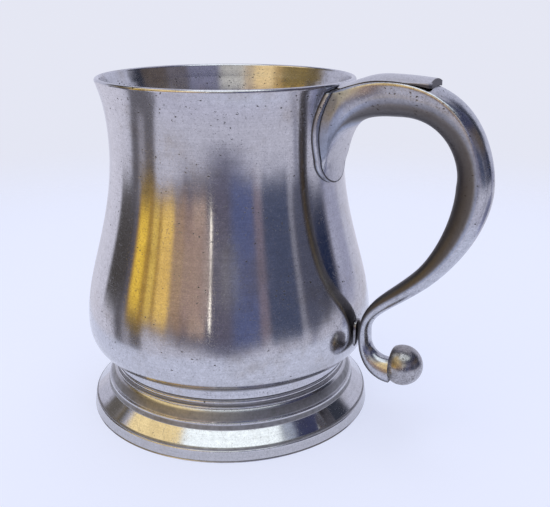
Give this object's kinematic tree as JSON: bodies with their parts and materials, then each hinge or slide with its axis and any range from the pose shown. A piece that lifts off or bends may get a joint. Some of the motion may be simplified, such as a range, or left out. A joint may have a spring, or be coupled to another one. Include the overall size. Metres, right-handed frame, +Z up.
{
  "type": "pewter mug",
  "caption": "Bell-shaped pewter mug on a spreading moulded foot, with a scrolled side handle that carries a thumb leaf on top and ends in a ball.",
  "frame": {"origin": "on the surface that the mug stands on, under the middle of its length from the foot's left edge to the back of the handle; the mug's own axis stands at x = -0.0208", "axes": "+Z up along the mug's axis, +X from the body towards the handle, +Y to the side of the handle's plane"},
  "size_m": [0.1446, 0.103, 0.1225],
  "materials": {
    "body_pewter": "turned pewter, worn to a soft shine, with fine pits and scratches",
    "foot_pewter": "turned pewter, brighter on the raised mouldings",
    "handle_pewter": "cast pewter, filed and rubbed smooth, with casting pits",
    "solder": "dull pewter solder"
  },
  "bodies": {
    "root": {"upper_body": "body_pewter", "lower_body": "body_pewter", "seam_solder": "solder", "foot_ring": "foot_pewter", "foot_solder": "solder", "handle": "handle_pewter", "root_plate": "handle_pewter", "tail_pad": "solder", "thumb_leaf": "handle_pewter", "ball_end": "handle_pewter"}
  },
  "joints": []
}
